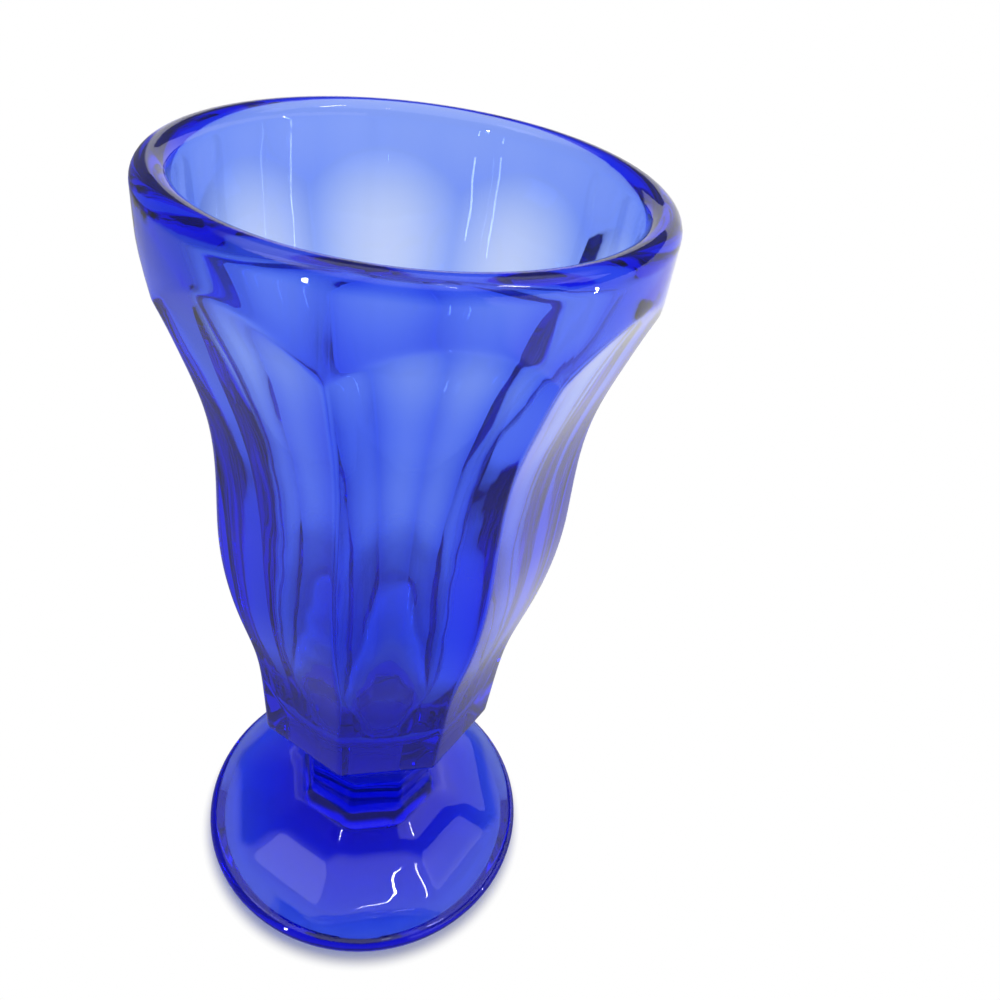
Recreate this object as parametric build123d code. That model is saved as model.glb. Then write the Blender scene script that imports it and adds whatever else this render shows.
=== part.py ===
import os
from math import cos, pi, radians, tan

from build123d import *

os.makedirs("parts", exist_ok=True)

# Sizes in millimetres and degrees. The axis of the glass is Z and the table is at zero.
# A half width is the distance from the axis to the middle of a flat panel.
panel_pairs = 4
ridge_trim = 0.3

# Foot
foot_radius = 39.3
foot_edge_height = 6.5
foot_edge_radius = 2.0
underside_slope = 42.0
facet_half_width = 32.0
facet_rise = 4.8
hollow_radius = 27.0
hollow_depth = 1.2

# Stem
cove_half_width = 21.7
cove_rise = 13.0
column_half_width = 14.4
column_rise = 17.7

# Lower bowl, each rise measured from the level below
shoulder_rise = 8.0
base_half_width = 24.4
base_edge_rounding = 1.0
collar_half_width = 25.1
collar_rise = 12.0
taper_half_width = 26.3
taper_rise = 12.0
swell_half_width = 28.8
swell_rise = 11.0

# Middle of the bowl, hung from the flare, each rise measured from the level below
belly_half_width = 31.9
waist_half_width = 31.7
waist_rise = 13.0
throat_half_width = 32.5
throat_rise = 12.0
flare_half_width = 35.6
flare_rise = 12.0

# Upper bowl, each drop measured from the level above
bowl_height = 128.0
lip_thickness = 5.8
band_radius = 41.7
band_drop = 6.1
arch_drop = 6.0
springing_half_width = 39.0
flare_drop = 10.0

# Inside of the bowl
flare_wall = 2.6
throat_wall = 3.0
waist_wall = 4.5
belly_wall = 6.1
swell_wall = 5.6
heel_radius = 18.8
heel_rise = 7.0
floor_radius = 12.0
floor_rise = 3.0

# How far the flat-sided shape of the bowl stands clear of its round band
band_clearance = 5.0

# Levels above the table
foot_top = foot_edge_height + facet_rise
cove_top = foot_top + cove_rise
bowl_bottom = cove_top + column_rise
base_level = bowl_bottom + shoulder_rise
floor_level = base_level + floor_rise
collar_level = base_level + collar_rise
taper_level = collar_level + taper_rise
swell_level = taper_level + swell_rise
lip_top = bowl_bottom + bowl_height
lip_level = lip_top - lip_thickness / 2
arch_level = lip_level - band_drop
springing_level = arch_level - arch_drop
flare_level = springing_level - flare_drop
throat_level = flare_level - flare_rise
waist_level = throat_level - throat_rise
belly_level = waist_level - waist_rise


# A solid of revolution about the axis from lines in order that start and end on it.
def turned_body(outline):
    axis = Line(outline[-1] @ 1, outline[0] @ 0)
    return revolve(make_face(Plane.XZ * Curve([*outline, axis])), Axis.Z)


# A flat-sided body: for each pair of opposite panels one slab carries the panel's
# profile on both its faces, and the slabs cross on the axis. A turned body just inside
# the lines where the panels meet leaves a narrow round land along every ridge.
def panelled_body(profile):
    opposite = mirror(profile, Plane.YZ)
    bottom = Line(opposite @ 0, profile @ 0)
    top = Line(profile @ 1, opposite @ 1)
    face = make_face(Plane.XZ * (profile + top + opposite + bottom))
    slab = extrude(face, face.bounding_box().size.X, both=True)
    ridge = Pos(-ridge_trim, 0) * scale(profile, (1 / cos(pi / panel_pairs / 2), 1, 1))
    below = Line((0, (ridge @ 0).Y), ridge @ 0)
    above = Line(ridge @ 1, (0, (ridge @ 1).Y))
    body = turned_body([below, *ridge.edges(), above])
    for pair in range(panel_pairs):
        body = body & Rot(0, 0, 180 / panel_pairs * pair) * slab
    return body


# Foot: a round disc that stands on a flat ring round a shallow hollow. Outside the ring its
# underside slopes up to the rounded edge, and on top flat facets rise to the stem.
def make_foot():
    edge_centre = Vector(foot_radius - foot_edge_radius, foot_edge_height - foot_edge_radius)
    edge_start = edge_centre + Vector(0, -foot_edge_radius).rotate(Axis.Z, underside_slope)
    edge_top = (edge_centre.X, foot_edge_height)
    rest_end = (edge_start.X - edge_start.Y / tan(radians(underside_slope)), 0)
    hollow = TangentArc((0, hollow_depth), (hollow_radius, 0), tangent=(1, 0))
    rest = Line((hollow_radius, 0), rest_end)
    slope = Line(rest_end, edge_start)
    edge = ThreePointArc(edge_start, (foot_radius, edge_centre.Y), edge_top)
    top = Line(edge_top, (0, foot_edge_height))
    facet = Line((facet_half_width, foot_edge_height), (cove_half_width, foot_top))
    return turned_body([hollow, rest, slope, edge, top]) + panelled_body(Curve([facet]))


# Stem: a flat-sided column that spreads in a cove where it meets the foot.
def make_stem():
    cove = TangentArc((column_half_width, cove_top), (cove_half_width, foot_top), tangent=(0, -1))
    column = Line((column_half_width, cove_top), (column_half_width, bowl_bottom))
    return panelled_body(Curve([cove, column]))


# Round blank of the bowl: a straight outside, a rounded lip and a smooth hollow.
def make_blank():
    floor_end = Vector(floor_radius, floor_level)
    heel = Vector(heel_radius, floor_level + heel_rise)
    swell = Vector(swell_half_width - swell_wall, swell_level)
    lip_inside = (band_radius - lip_thickness, lip_level)
    lip_crown = (band_radius - lip_thickness / 2, lip_top)
    lip_outside = (band_radius, lip_level)
    upward = (swell - heel).normalized()
    floor = Line((0, floor_level), floor_end)
    corner = Spline(floor_end, heel, tangents=((1, 0), upward), tangent_scalars=(1, 1))
    wall = Spline(
        heel,
        swell,
        (belly_half_width - belly_wall, belly_level),
        (waist_half_width - waist_wall, waist_level),
        (throat_half_width - throat_wall, throat_level),
        (flare_half_width - flare_wall, flare_level),
        lip_inside,
        tangents=(upward, (0, 1)),
        tangent_scalars=(1, 1),
    )
    lip = ThreePointArc(lip_inside, lip_crown, lip_outside)
    outside = Line(lip_outside, (band_radius, bowl_bottom))
    bottom = Line((band_radius, bowl_bottom), (0, bowl_bottom))
    return turned_body([floor, corner, wall, lip, outside, bottom])


# Panels of the bowl: one flowing profile from the base to where it runs out under the band,
# flat across, so its upper edge comes out as an arch on the round blank.
def make_panels():
    shoulder_start = Vector(column_half_width, bowl_bottom)
    base_edge = Vector(base_half_width, base_level)
    collar = Vector(collar_half_width, collar_level)
    springing = Vector(springing_half_width, springing_level)
    arch = Vector(band_radius, arch_level)
    underside = (base_edge - shoulder_start).normalized()
    upward = (collar - base_edge).normalized()
    run_out = (arch - springing).normalized()
    edge_start = base_edge - underside * base_edge_rounding
    edge_end = base_edge + upward * base_edge_rounding
    clear = arch + run_out * band_clearance
    shoulder = Line(shoulder_start, edge_start)
    edge = TangentArc(edge_start, edge_end, tangent=underside)
    panel = Spline(
        edge_end,
        collar,
        (taper_half_width, taper_level),
        (swell_half_width, swell_level),
        (belly_half_width, belly_level),
        (waist_half_width, waist_level),
        (throat_half_width, throat_level),
        (flare_half_width, flare_level),
        springing,
        arch,
        tangents=(upward, run_out),
        tangent_scalars=(1, 1),
    )
    tail = Line(arch, clear)
    above = Line(clear, (clear.X, lip_top + band_clearance))
    return panelled_body(Curve([shoulder, edge, panel, tail, above]))


export_step(make_foot(), "parts/foot.step")
export_step(make_stem(), "parts/stem.step")
export_step(make_blank() & make_panels(), "parts/bowl.step")
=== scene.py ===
from math import atan2, cos, hypot, pi, radians, sin, tan

import bmesh
import bpy
import numpy as np
from mathutils import Matrix, Vector
from mathutils.geometry import interpolate_bezier


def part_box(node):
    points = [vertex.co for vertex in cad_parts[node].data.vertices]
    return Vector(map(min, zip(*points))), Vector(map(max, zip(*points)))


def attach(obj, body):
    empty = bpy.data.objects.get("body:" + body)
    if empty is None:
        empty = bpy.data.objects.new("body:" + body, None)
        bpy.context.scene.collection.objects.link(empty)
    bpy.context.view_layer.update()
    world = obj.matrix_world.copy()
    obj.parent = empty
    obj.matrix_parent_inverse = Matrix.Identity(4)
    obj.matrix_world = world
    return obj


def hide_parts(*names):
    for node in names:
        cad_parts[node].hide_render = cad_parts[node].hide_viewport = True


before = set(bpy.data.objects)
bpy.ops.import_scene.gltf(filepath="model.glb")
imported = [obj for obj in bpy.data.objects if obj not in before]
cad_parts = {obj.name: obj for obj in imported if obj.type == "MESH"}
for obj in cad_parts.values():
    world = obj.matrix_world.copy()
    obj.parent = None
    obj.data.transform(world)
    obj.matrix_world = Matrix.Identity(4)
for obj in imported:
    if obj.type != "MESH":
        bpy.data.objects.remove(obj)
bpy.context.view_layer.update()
mm = 0.001  # sizes below are in millimetres
weldDistance = 0.005  # points closer than this become one

bpy.context.scene.view_settings.view_transform = "Standard"


def hexColour(text):
    channels = [int(text[i:i + 2], 16) / 255 for i in (1, 3, 5)]
    return tuple(c / 12.92 if c <= 0.04045 else ((c + 0.055) / 1.055) ** 2.4 for c in channels) + (1,)


def addNode(tree, kind, values=None, links=None, **settings):
    node = tree.nodes.new(kind)
    for name, value in settings.items():
        setattr(node, name, value)
    for name, value in (values or {}).items():
        node.inputs[name].default_value = value
    for name, source in (links or {}).items():
        tree.links.new(source, node.inputs[name])
    return node


def emptyTree(owner):
    owner.use_nodes = True
    owner.node_tree.nodes.clear()
    return owner.node_tree


# Outline curves, as points (distance from the axis, 0, level)
def spot(width, level):
    return Vector((width, 0, level))


def straightRun(start, end, spacing):
    steps = max(1, round((end - start).length / spacing))
    return [start.lerp(end, i / steps) for i in range(steps + 1)]


# A curve through all the points that starts and ends in the given ways
def smoothRun(points, startWay, endWay, spacing, rounds=60):
    spans = [(b - a).length for a, b in zip(points, points[1:])]
    ways = [startWay] + [(c - a).normalized() for a, c in zip(points, points[2:])] + [endWay]
    for settling in range(rounds):  # towards one curve of continuous bend
        for i in range(1, len(points) - 1):
            near, far = spans[i - 1], spans[i]
            before = (points[i] - points[i - 1]) * (far / near)
            after = (points[i + 1] - points[i]) * (near / far)
            ways[i] = (3 * (before + after) - far * ways[i - 1] - near * ways[i + 1]) / (2 * (near + far))
    run = [points[0]]
    for i, span in enumerate(spans):
        start, end = points[i], points[i + 1]
        steps = max(2, round(span / spacing))
        firstHandle = start + ways[i] * span / 3
        lastHandle = end - ways[i + 1] * span / 3
        run += interpolate_bezier(start, firstHandle, lastHandle, end, steps + 1)[1:]
    return run


# A rounded corner that begins and ends at this distance from the sharp one
def softCorner(before, corner, after, distance, fullness=0.55, steps=5):
    start = corner + (before - corner).normalized() * distance
    end = corner + (after - corner).normalized() * distance
    handles = start.lerp(corner, fullness), end.lerp(corner, fullness)
    return interpolate_bezier(start, *handles, end, steps + 1)


def arcRun(centre, radius, fromAngle, toAngle, steps=18):
    turns = [radians(fromAngle + (toAngle - fromAngle) * i / steps) for i in range(steps + 1)]
    return [centre + radius * spot(cos(turn), sin(turn)) for turn in turns]


def turnOnce(mesh, steps):
    bmesh.ops.spin(
        mesh, geom=mesh.verts[:] + mesh.edges[:], cent=(0, 0, 0), axis=(0, 0, 1),
        angle=2 * pi, steps=steps, use_merge=True, use_duplicate=False,
    )


def placeMesh(mesh, name):
    for face in mesh.faces:
        face.smooth = True
    data = bpy.data.meshes.new(name)
    mesh.to_mesh(data)
    mesh.free()
    piece = bpy.data.objects.new(name, data)
    bpy.context.collection.objects.link(piece)
    print(name, "has", len(data.polygons), "faces")
    return piece


# The glass: one body pressed in a mould, with eight panels. A half width is the distance
# from the axis to the middle of a panel.
parfaitGlass = {
    "panels": 8,
    "ridgeRounding": 2.0,
    "footRidgeRounding": 8.0,
    "archSoftness": 0.3,
    "creaseRounding": 1.2,
    "rimCreaseRounding": 2.2,
    "coveCreaseRounding": 3.0,
    "hollowRadius": 27.0,
    "hollowDepth": 1.2,
    "footEdgeHeight": 6.5,
    "footEdgeRadius": 2.0,
    "undersideSlope": 42.0,  # degrees
    "facetHalfWidth": 32.0,
    "coveRise": 13.0,
    "columnHalfWidth": 14.4,
    "shoulderRise": 8.0,
    "baseHalfWidth": 24.4,
    "collar": (25.1, 12.0),  # half width, rise above the base
    "taper": (26.3, 24.0),
    "swell": (28.8, 35.0),
    "belly": (31.9, 58.0),
    "waist": (31.7, 71.0),
    "throat": (32.5, 83.0),
    "flare": (35.6, 22.1),  # half width, drop below the lip's centre line
    "springing": (39.0, 12.1),
    "archDrop": 6.1,
    "runOut": 20.0,  # how far the profile of the panels goes on past the arch
    "lipThickness": 5.8,
    "walls": {"flare": 2.6, "throat": 3.0, "waist": 4.5, "belly": 6.1, "swell": 5.6},
    "heel": (18.8, 7.0),  # radius, rise above the floor
    "floorRadius": 12.0,
    "floorRise": 3.0,
    # fineness of the mesh
    "stepsPerPanel": 20,
    "flatShare": 0.6,  # share of a panel's steps that lie on its flat
    "rowSpacing": 1.5,
    "archRowSpacing": 0.4,
    "hollowRowSpacing": 3.0,
    "slopeRowSpacing": 1.0,
    "flatRowSpacing": 2.0,
    "heelRowSpacing": 0.7,
    "leastRowSpacing": 0.02,
    "coveCreaseRows": 4,  # rows of the cove that its crease stands in for
    "baseCreaseGap": 0.5,  # least rise from the crease of the base to the next row
}

# Radii and levels that the CAD pieces give
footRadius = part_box("foot")[1].x / mm
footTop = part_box("foot")[1].z / mm
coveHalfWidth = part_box("stem")[1].x / mm
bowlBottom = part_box("bowl")[0].z / mm
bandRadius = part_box("bowl")[1].x / mm
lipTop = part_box("bowl")[1].z / mm
baseLevel = bowlBottom + parfaitGlass["shoulderRise"]
floorLevel = baseLevel + parfaitGlass["floorRise"]
lipRadius = parfaitGlass["lipThickness"] / 2
lipLevel = lipTop - lipRadius


# Points that the panels of the bowl pass through, from the base to the arch
def bowlSpots(size):
    spots = {"base": spot(size["baseHalfWidth"], baseLevel)}
    for name in ("collar", "taper", "swell", "belly", "waist", "throat"):
        halfWidth, rise = size[name]
        spots[name] = spot(halfWidth, baseLevel + rise)
    for name in ("flare", "springing"):
        halfWidth, drop = size[name]
        spots[name] = spot(halfWidth, lipLevel - drop)
    spots["arch"] = spot(bandRadius, lipLevel - size["archDrop"])
    return spots


# The panels' profile, carried on past the arch so that it crosses the round band
def panelProfile(spots, size):
    upward = (spots["collar"] - spots["base"]).normalized()
    outward = (spots["arch"] - spots["springing"]).normalized()
    run = smoothRun(list(spots.values()), upward, outward, size["rowSpacing"])
    return run + [spots["arch"] + outward * size["runOut"]]


# Runs of the outline, each with the zone that shapes it: underside and edge of the foot
def footRuns(size):
    edgeRadius = size["footEdgeRadius"]
    slope = radians(size["undersideSlope"])
    hollowTop = spot(0, size["hollowDepth"])
    hollowEnd = spot(size["hollowRadius"], 0)
    hollowWay = (hollowEnd - 2 * hollowTop).normalized()
    edgeCentre = spot(footRadius - edgeRadius, size["footEdgeHeight"] - edgeRadius)
    edgeStart = edgeCentre + edgeRadius * spot(sin(slope), -cos(slope))
    restEnd = spot(edgeStart.x - edgeStart.z / tan(slope), 0)
    return [
        ("round", smoothRun([hollowTop, hollowEnd], spot(1, 0), hollowWay, size["hollowRowSpacing"])),
        ("round", straightRun(hollowEnd, restEnd, size["flatRowSpacing"])),
        ("round", straightRun(restEnd, edgeStart, size["slopeRowSpacing"])),
        ("round", arcRun(edgeCentre, edgeRadius, size["undersideSlope"] - 90, 90)),
    ]


# Facets of the foot, cove and column of the stem, and the shoulder under the base
def stemRuns(columnTop, baseCrease, size):
    spacing = size["rowSpacing"]
    edgeTop = spot(footRadius - size["footEdgeRadius"], size["footEdgeHeight"])
    facetStart = spot(size["facetHalfWidth"], size["footEdgeHeight"])
    facetEnd = spot(coveHalfWidth, footTop)
    coveTop = spot(size["columnHalfWidth"], footTop + size["coveRise"])
    coveTurn = 2 * atan2(facetEnd.x - coveTop.x, size["coveRise"])
    coveWay = spot(-sin(coveTurn), cos(coveTurn))
    cove = smoothRun([facetEnd, coveTop], coveWay, spot(0, 1), spacing)
    creaseRows = size["coveCreaseRows"]
    rimCrease = softCorner(edgeTop, facetStart, facetEnd, size["rimCreaseRounding"])
    coveCrease = softCorner(facetStart, facetEnd, cove[creaseRows - 1], size["coveCreaseRounding"])
    neckCrease = softCorner(coveTop, columnTop, baseCrease[0], size["creaseRounding"])
    return [
        ("panel", rimCrease),
        ("panel", straightRun(rimCrease[-1], coveCrease[0], spacing)),
        ("panel", coveCrease),
        ("panel", cove[creaseRows:]),
        ("panel", straightRun(coveTop, neckCrease[0], spacing)),
        ("panel", neckCrease),
        ("panel", straightRun(neckCrease[-1], baseCrease[0], spacing)),
    ]


# Base and panels of the bowl, then the arches and the round band
def outsideRuns(baseCrease, profile, spots, size):
    lowest = baseCrease[-1].z + size["baseCreaseGap"]
    return [
        ("panel", baseCrease),
        ("panel", [point for point in profile if lowest < point.z < spots["flare"].z]),
        ("arch", straightRun(spots["flare"], spots["arch"], size["archRowSpacing"])),
        ("arch", straightRun(spots["arch"], spot(bandRadius, lipLevel), size["archRowSpacing"])),
    ]


# Lip, wall, heel and floor
def insideRuns(spots, size):
    lipCentre = spot(bandRadius - lipRadius, lipLevel)
    heelRadius, heelRise = size["heel"]
    heel = spot(heelRadius, floorLevel + heelRise)
    floorEnd = spot(size["floorRadius"], floorLevel)
    wall = [lipCentre - spot(lipRadius, 0)]
    wall += [spots[name] - spot(thickness, 0) for name, thickness in size["walls"].items()]
    wall.append(heel)
    down = (wall[-1] - wall[-2]).normalized()
    return [
        ("round", arcRun(lipCentre, lipRadius, 0, 180)),
        ("round", smoothRun(wall, spot(0, -1), down, size["rowSpacing"])),
        ("round", smoothRun([heel, floorEnd], down, spot(-1, 0), size["heelRowSpacing"])),
        ("round", straightRun(floorEnd, spot(0, floorLevel), size["flatRowSpacing"])),
    ]


# How a row of the turned outline is shaped
zones = {"round": 0, "panel": 1, "arch": 2}


def turnOutline(runs, size):
    mesh = bmesh.new()
    zone = mesh.verts.layers.int.new("zone")
    last = None
    for name, run in runs:
        for point in run:
            if last and (last.co - point).length < size["leastRowSpacing"]:
                continue
            vert = mesh.verts.new(point)
            vert[zone] = zones[name]
            if last:
                mesh.edges.new((last, vert))
            last = vert
    print("outline of the glass has", len(mesh.verts), "points")
    turnOnce(mesh, size["panels"] * size["stepsPerPanel"])
    return mesh, zone


# A point of an eight-sided row: across goes from ridge to ridge of one panel, from -1 to 1
def panelPoint(halfWidth, across, rounding, size):
    half = pi / size["panels"]
    inner = halfWidth - rounding
    flat = size["flatShare"]
    if abs(across) <= flat:
        return halfWidth, inner * tan(half) * across / flat
    turn = half * (abs(across) - flat) / (1 - flat)
    side = inner * tan(half) + rounding * sin(turn)
    return inner + rounding * cos(turn), side if across > 0 else -side


# The same way out from the axis, at another distance
def atReach(x, y, reach):
    return x * reach / hypot(x, y), y * reach / hypot(x, y)


# Level where the flat panel, at this place across it, comes out to the round band
def springLevel(across, panelRun, low, high, size, halvings=30):
    for halving in range(halvings):
        level = (low + high) / 2
        halfWidth = np.interp(level, *panelRun)
        if hypot(*panelPoint(halfWidth, across, size["ridgeRounding"], size)) < bandRadius:
            low = level
        else:
            high = level
    return low


# Moves the turned outline to the flat panels, their rounded ridges and the arches
def shapePanels(mesh, zone, profile, spots, size):
    panelRun = np.array([(point.z, point.x) for point in profile]).T
    flareLevel, archLevel = spots["flare"].z, spots["arch"].z
    softLevels = (footTop, footTop + size["coveRise"])  # over the cove the ridges sharpen
    ridge = size["ridgeRounding"]
    panelTurn = 2 * pi / size["panels"]
    springs = {}
    for vert in mesh.verts:
        width, level = hypot(vert.co.x, vert.co.y), vert.co.z
        angle = atan2(vert.co.y, vert.co.x)
        middle = round(angle / panelTurn) * panelTurn
        across = (angle - middle) / (panelTurn / 2)
        if vert[zone] == zones["panel"]:
            rounding = np.interp(level, softLevels, (size["footRidgeRounding"], ridge))
            x, y = panelPoint(width, across, rounding, size)
        elif vert[zone] == zones["arch"]:
            column = round(abs(across), 3)
            if column not in springs:
                springs[column] = springLevel(column, panelRun, flareLevel, archLevel, size)
            shaped = (flareLevel, springs[column], lipLevel)
            level = np.interp(level, (flareLevel, archLevel, lipLevel), shaped)
            x, y = panelPoint(np.interp(level, *panelRun), across, ridge, size)
            reach = hypot(x, y)
            soft = hypot(reach - bandRadius, size["archSoftness"])
            x, y = atReach(x, y, (reach + bandRadius - soft) / 2)
        else:  # round, with its columns in line with those of the panels
            x, y = atReach(*panelPoint(bandRadius, across, ridge, size), width)
        vert.co = Vector((
            (x * cos(middle) - y * sin(middle)) * mm,
            (x * sin(middle) + y * cos(middle)) * mm,
            level * mm,
        ))


def makeGlass(size):
    spots = bowlSpots(size)
    profile = panelProfile(spots, size)
    columnTop = spot(size["columnHalfWidth"], bowlBottom)
    baseCrease = softCorner(columnTop, spots["base"], spots["collar"], size["creaseRounding"])
    runs = footRuns(size) + stemRuns(columnTop, baseCrease, size)
    runs += outsideRuns(baseCrease, profile, spots, size) + insideRuns(spots, size)
    mesh, zone = turnOutline(runs, size)
    shapePanels(mesh, zone, profile, spots, size)
    bmesh.ops.remove_doubles(mesh, verts=mesh.verts[:], dist=weldDistance * mm)
    bmesh.ops.recalc_face_normals(mesh, faces=mesh.faces[:])
    return placeMesh(mesh, "parfait_glass")


cobaltGlass = {
    "ior": 1.52,
    "roughness": 0.0,
    "absorbedPerMm": 0.245,  # of the colour that the glass takes most, red
    "lets": "#0094fb",
    "wavinessMm": 7.0,
    "wavinessDepthMm": 0.06,
    "wavinessDetail": 0.0,
}


# Soda-lime glass coloured all through with cobalt, pressed and fire-polished: clear,
# pale blue where thin and deep violet blue where thick, with a faintly wavy skin
def pressedCobaltGlass(finish):
    material = bpy.data.materials.new("pressed_cobalt_glass")
    tree = emptyTree(material)
    place = addNode(tree, "ShaderNodeTexCoord")
    wave = addNode(
        tree, "ShaderNodeTexNoise",
        {"Scale": 1 / (finish["wavinessMm"] * mm), "Detail": finish["wavinessDetail"]},
        {"Vector": place.outputs["Object"]},
    )
    skin = addNode(
        tree, "ShaderNodeBump",
        {"Strength": 1.0, "Distance": finish["wavinessDepthMm"] * mm},
        {"Height": wave.outputs["Fac"]},
    )
    surface = addNode(
        tree, "ShaderNodeBsdfPrincipled",
        {
            "Base Color": (1, 1, 1, 1), "Roughness": finish["roughness"], "IOR": finish["ior"],
            "Transmission Weight": 1.0,
        },
        {"Normal": skin.outputs["Normal"]},
    )
    inside = addNode(
        tree, "ShaderNodeVolumeAbsorption",
        {"Color": hexColour(finish["lets"]), "Density": finish["absorbedPerMm"] / mm},
    )
    path = addNode(tree, "ShaderNodeLightPath")
    passing = addNode(tree, "ShaderNodeBsdfTransparent")
    either = addNode(
        tree, "ShaderNodeMixShader",
        links={
            "Fac": path.outputs["Is Shadow Ray"], 1: surface.outputs["BSDF"],
            2: passing.outputs["BSDF"],
        },
    )
    addNode(
        tree, "ShaderNodeOutputMaterial",
        links={"Surface": either.outputs["Shader"], "Volume": inside.outputs["Volume"]},
    )
    return material


glass = makeGlass(parfaitGlass)
glass.data.materials.append(pressedCobaltGlass(cobaltGlass))
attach(glass, "root")
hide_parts("bowl", "stem", "foot")
print("glass ready")


# White table that sweeps up into a low wall all round
studio = {
    "floorRadius": 900.0,
    "sweepRadius": 300.0,
    "sweepSteps": 12,
    "wallHeight": 600.0,
    "sides": 96,
    "drop": 0.1,  # below the foot
    "paper": "#f7f7f7",
    # distances from the axis between which the paper turns plain white, seen in the open
    # and seen through the glass
    "openTurn": (38.0, 42.0),
    "throughTurn": (50.0, 90.0),
    "paintedLightSide": (0.95, 0.3, 0.0),  # painted light: the paper is painted brighter this way, as if lit from a window
    # painted shade: distances that way between which the paper is painted brighter, and its darker level
    # before them, seen through the glass and reflected in it
    "throughPaintedShade": (-200.0, 50.0, 0.7),
    "mirrorPaintedShade": (30.0, 110.0, 0.2),
    # painted shade of the reflected paper on every side, by distance from the axis: dark close to the
    # glass, brighter further out, dark again far off
    "mirroredPaintedShade": {90.0: 0.25, 160.0: 0.5, 350.0: 0.5, 600.0: 0.15},
}


def makeSweep(size):
    mesh = bmesh.new()
    turnCentre = spot(size["floorRadius"], size["sweepRadius"])
    run = [spot(0, 0)] + arcRun(turnCentre, size["sweepRadius"], -90, 0, size["sweepSteps"])
    run.append(run[-1] + spot(0, size["wallHeight"] - size["sweepRadius"]))
    verts = [mesh.verts.new((point - spot(0, size["drop"])) * mm) for point in run]
    for pair in zip(verts, verts[1:]):
        mesh.edges.new(pair)
    turnOnce(mesh, size["sides"])
    bmesh.ops.remove_doubles(mesh, verts=mesh.verts[:], dist=weldDistance * mm)
    return placeMesh(mesh, "paper_sweep")


# Matt white paper: it takes the shadow of the glass, and shows white behind and through it, with painted
# shade where it is seen through the glass away from the bright side, and where it is reflected in the
# glass
def mattPaper(size):
    material = bpy.data.materials.new("matt_white_paper")
    tree = emptyTree(material)
    path = addNode(tree, "ShaderNodeLightPath")
    place = addNode(tree, "ShaderNodeTexCoord")
    reach = addNode(tree, "ShaderNodeVectorMath", links={0: place.outputs["Object"]}, operation="LENGTH")

    # how much of the paper shows plain, and not as it is lit
    openTurn, throughTurn = [
        addNode(
            tree, "ShaderNodeMapRange",
            {"From Min": size[name][0] * mm, "From Max": size[name][1] * mm},
            {"Value": reach.outputs["Value"]}, interpolation_type="SMOOTHSTEP",
        ).outputs["Result"]
        for name in ("openTurn", "throughTurn")
    ]
    through = addNode(
        tree, "ShaderNodeMath",
        links={0: path.outputs["Is Glossy Ray"], 1: path.outputs["Is Transmission Ray"]}, use_clamp=True,
    )
    throughShare = addNode(
        tree, "ShaderNodeMath", links={0: through.outputs[0], 1: throughTurn}, operation="MULTIPLY",
    )
    plainShare = addNode(
        tree, "ShaderNodeMath",
        links={0: path.outputs["Is Camera Ray"], 1: openTurn, 2: throughShare.outputs[0]},
        operation="MULTIPLY_ADD",
    )
    share = addNode(
        tree, "ShaderNodeMath", links={0: plainShare.outputs[0], 1: path.outputs["Is Reflection Ray"]},
        operation="MAXIMUM",
    )

    # how bright the plain paper is: painted shade where it is seen through the glass and where it is
    # reflected
    across = addNode(
        tree, "ShaderNodeVectorMath", {1: size["paintedLightSide"]}, {0: place.outputs["Object"]},
        operation="DOT_PRODUCT",
    )
    # painted shade of the paper, lifting towards the bright side, seen through the glass and reflected
    throughPaintedLevel, mirrorPaintedLevel = [
        addNode(
            tree, "ShaderNodeMapRange",
            {"From Min": size[name][0] * mm, "From Max": size[name][1] * mm, "To Min": size[name][2]},
            {"Value": across.outputs["Value"]}, interpolation_type="SMOOTHSTEP",
        ).outputs["Result"]
        for name in ("throughPaintedShade", "mirrorPaintedShade")
    ]
    openOrThrough = addNode(
        tree, "ShaderNodeMix", {"B": 1.0}, {"Factor": path.outputs["Is Camera Ray"], "A": throughPaintedLevel},
    )
    # painted shade of the reflected paper, by distance from the axis
    paintedMirrorRamp = addNode(tree, "ShaderNodeValToRGB", links={"Fac": reach.outputs["Value"]})
    stops = paintedMirrorRamp.color_ramp.elements  # starts with two, which make way for the levels
    stops.remove(stops[1])
    for distance, level in size["mirroredPaintedShade"].items():
        stops.new(distance * mm).color = (level, level, level, 1)
    stops.remove(stops[0])
    # the reflected paper takes the lighter of its two painted shades
    mirroredPaintedShade = addNode(
        tree, "ShaderNodeMath", links={0: paintedMirrorRamp.outputs["Color"], 1: mirrorPaintedLevel}, operation="MAXIMUM",
    )
    strength = addNode(
        tree, "ShaderNodeMix",
        links={
            "Factor": path.outputs["Is Reflection Ray"], "A": openOrThrough.outputs["Result"],
            "B": mirroredPaintedShade.outputs[0],
        },
    )

    lit = addNode(tree, "ShaderNodeBsdfDiffuse", {"Color": hexColour(size["paper"])})
    plain = addNode(tree, "ShaderNodeEmission", links={"Strength": strength.outputs["Result"]})
    mix = addNode(
        tree, "ShaderNodeMixShader",
        links={"Fac": share.outputs[0], 1: lit.outputs["BSDF"], 2: plain.outputs["Emission"]},
    )
    addNode(tree, "ShaderNodeOutputMaterial", links={"Surface": mix.outputs["Shader"]})
    return material


sweep = makeSweep(studio)
sweep.data.materials.append(mattPaper(studio))

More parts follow.
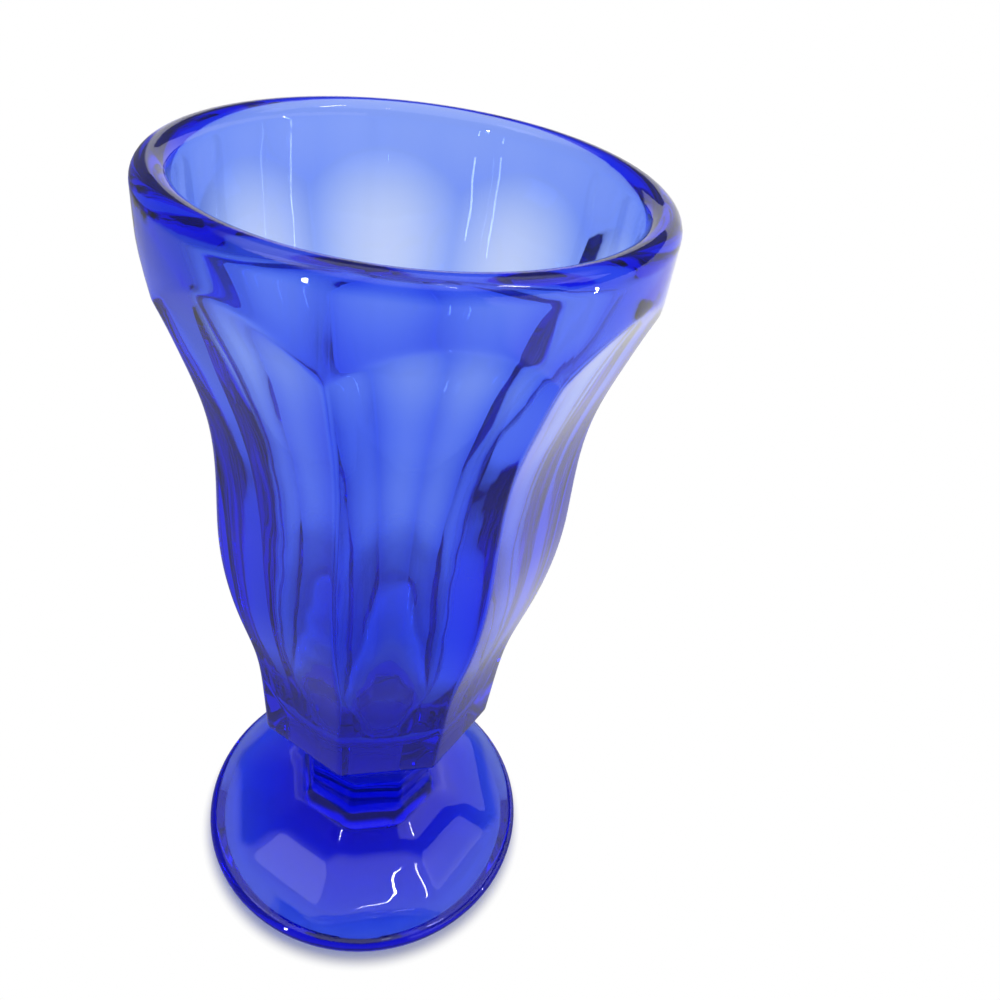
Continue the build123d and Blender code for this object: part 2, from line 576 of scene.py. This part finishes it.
lighting = {
    "lightTurns": 32,  # light is turned back many times inside thick glass before it leaves
    "room": "#eef1f6",
    "wallStrength": 0.2,
    "ceilingStrength": 1.4,
    "ceilingFrom": (42.0, 55.0),  # elevations, in degrees, where the walls pass into the ceiling
    "lightShare": 0.5,  # how much of the room's look also falls as light
    "lamps": {
        "tubeLamp": {"place": (160, -530, 1400), "sides": (6, 420), "power": 0.4},
        "windowLamp": {"place": (640, -400, 1400), "sides": (60, 300), "power": 1.3},
        "leftSoftbox": {"place": (-910, -110, 1400), "sides": (450, 450), "power": 0.7},
        "rightSoftbox": {"place": (1300, -90, 1400), "sides": (500, 450), "power": 0.7},
        "rightStrip": {"place": (736, -312, 150), "sides": (16, 260), "power": 0.9},
        "leftStrip": {"place": (-585, -545, 190), "sides": (25, 260), "power": 1.4},
    },
    "lookAt": (0, 0, 90),
}


def lightRoom(setup):
    cycles = bpy.context.scene.cycles
    cycles.max_bounces = setup["lightTurns"]
    cycles.glossy_bounces = setup["lightTurns"]
    cycles.transmission_bounces = setup["lightTurns"]
    world = bpy.data.worlds.new("studio_room")
    bpy.context.scene.world = world
    tree = emptyTree(world)
    place = addNode(tree, "ShaderNodeTexCoord")
    way = addNode(tree, "ShaderNodeSeparateXYZ", links={"Vector": place.outputs["Generated"]})
    low, high = [sin(radians(angle)) for angle in setup["ceilingFrom"]]
    height = addNode(
        tree, "ShaderNodeMapRange",
        {
            "From Min": low, "From Max": high, "To Min": setup["wallStrength"],
            "To Max": setup["ceilingStrength"],
        },
        {"Value": way.outputs["Z"]}, interpolation_type="SMOOTHSTEP",
    )
    path = addNode(tree, "ShaderNodeLightPath")
    seen = addNode(
        tree, "ShaderNodeMath",
        links={0: path.outputs["Is Glossy Ray"], 1: path.outputs["Is Transmission Ray"]}, use_clamp=True,
    )
    level = addNode(
        tree, "ShaderNodeMapRange", {"To Min": setup["lightShare"]}, {"Value": seen.outputs[0]},
    )
    strength = addNode(
        tree, "ShaderNodeMath", links={0: height.outputs["Result"], 1: level.outputs["Result"]},
        operation="MULTIPLY",
    )
    room = addNode(
        tree, "ShaderNodeBackground",
        {"Color": hexColour(setup["room"])}, {"Strength": strength.outputs[0]},
    )
    addNode(tree, "ShaderNodeOutputWorld", links={"Surface": room.outputs["Background"]})


def hangLamps(setup):
    target = Vector(setup["lookAt"]) * mm
    for name, lamp in setup["lamps"].items():
        light = bpy.data.lights.new(name, "AREA")
        light.energy = lamp["power"]
        light.shape = "RECTANGLE"
        light.size, light.size_y = [side * mm for side in lamp["sides"]]
        lampObject = bpy.data.objects.new(name, light)
        lampObject.location = Vector(lamp["place"]) * mm
        lampObject.rotation_euler = (target - lampObject.location).to_track_quat("-Z", "Y").to_euler()
        lampObject.visible_camera = False
        bpy.context.collection.objects.link(lampObject)


lightRoom(lighting)
hangLamps(lighting)
print("studio lit")

# The photograph's viewpoint
viewpoint = {
    "place": (-21.78, -135.06, 212.66),
    "heading": 16.45,  # degrees from +Y towards +X
    "pitch": 35.9,  # degrees below level
    "roll": 8.94,  # degrees
    "lens": 31.66,
    "sensor": 36.0,
    "shift": (0.0164, -0.0258),
    "nearest": 10.0,
}


def setCamera(view):
    heading, pitch, roll = [radians(view[name]) for name in ("heading", "pitch", "roll")]
    forward = Vector((sin(heading) * cos(pitch), cos(heading) * cos(pitch), -sin(pitch)))
    level = forward.cross(Vector((0, 0, 1))).normalized()
    upward = level.cross(forward)
    right = level * cos(roll) + upward * sin(roll)
    top = upward * cos(roll) - level * sin(roll)
    data = bpy.data.cameras.new("camera")
    data.sensor_width = view["sensor"]
    data.lens = view["lens"]
    data.shift_x, data.shift_y = view["shift"]
    data.clip_start = view["nearest"] * mm
    camera = bpy.data.objects.new("camera", data)
    turn = Matrix((right, top, -forward)).transposed()
    camera.matrix_world = Matrix.Translation(Vector(view["place"]) * mm) @ turn.to_4x4()
    bpy.context.collection.objects.link(camera)
    bpy.context.scene.camera = camera


setCamera(viewpoint)
print("camera set")
